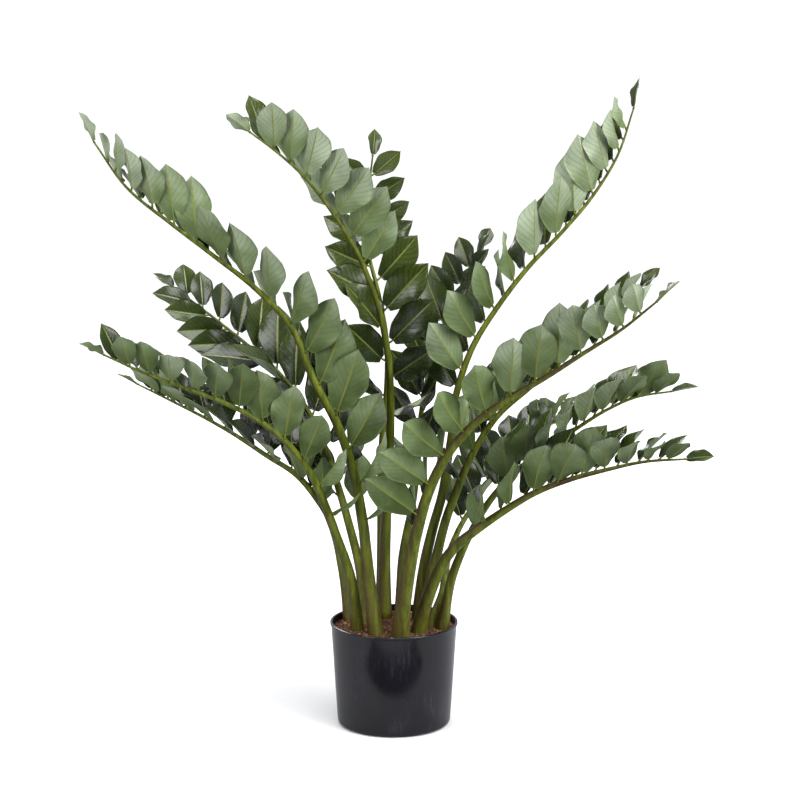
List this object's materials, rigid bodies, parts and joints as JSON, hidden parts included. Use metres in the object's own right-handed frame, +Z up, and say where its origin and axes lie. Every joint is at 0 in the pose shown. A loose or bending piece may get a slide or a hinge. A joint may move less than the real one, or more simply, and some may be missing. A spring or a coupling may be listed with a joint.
{
  "type": "potted zz plant",
  "caption": "Potted ZZ plant: arching fronds with two rows of glossy leaflets on thick green stems, in soil in a plain round dark plastic pot.",
  "frame": {"origin": "centre of the pot's underside, on the floor", "axes": "+Z up along the pot's axis, the plant's front along -Y, +X to the right seen from the front"},
  "size_m": [0.9709, 0.6625, 1.0551],
  "materials": {
    "pot": "satin charcoal polypropylene with faint scuffs",
    "soil": "loose brown bark chips and coir",
    "tuber": "dull tan skin",
    "stem": "smooth satin green skin, mottled brown near the soil",
    "leaf": "waxy dark green above, matte grey-green below"
  },
  "bodies": {
    "root": {"pot": "pot", "soil": "soil", "rhizome_1": "tuber", "rhizome_2": "tuber", "rhizome_3": "tuber", "rhizome_4": "tuber", "stem_01": "stem", "stem_02": "stem", "stem_03": "stem", "stem_04": "stem", "stem_05": "stem", "stem_06": "stem", "stem_07": "stem", "stem_08": "stem", "stem_09": "stem", "stem_10": "stem", "stem_11": "stem", "stem_12": "stem", "stem_13": "stem", "tip_leaflet_01": "leaf", "tip_leaflet_02": "leaf", "tip_leaflet_03": "leaf", "tip_leaflet_04": "leaf", "tip_leaflet_05": "leaf", "tip_leaflet_06": "leaf", "tip_leaflet_07": "leaf", "tip_leaflet_08": "leaf", "tip_leaflet_09": "leaf", "tip_leaflet_10": "leaf", "tip_leaflet_11": "leaf", "tip_leaflet_12": "leaf", "tip_leaflet_13": "leaf", "leaflets_01_left": "leaf", "leaflets_01_right": "leaf", "leaflets_02_left": "leaf", "leaflets_02_right": "leaf", "leaflets_03_left": "leaf", "leaflets_03_right": "leaf", "leaflets_04_left": "leaf", "leaflets_04_right": "leaf", "leaflets_05_left": "leaf", "leaflets_05_right": "leaf", "leaflets_06_left": "leaf", "leaflets_06_right": "leaf", "leaflets_07_left": "leaf", "leaflets_07_right": "leaf", "leaflets_08_left": "leaf", "leaflets_08_right": "leaf", "leaflets_09_left": "leaf", "leaflets_09_right": "leaf", "leaflets_10_left": "leaf", "leaflets_10_right": "leaf", "leaflets_11_left": "leaf", "leaflets_11_right": "leaf", "leaflets_12_left": "leaf", "leaflets_12_right": "leaf", "leaflets_13_left": "leaf", "leaflets_13_right": "leaf"}
  },
  "joints": []
}
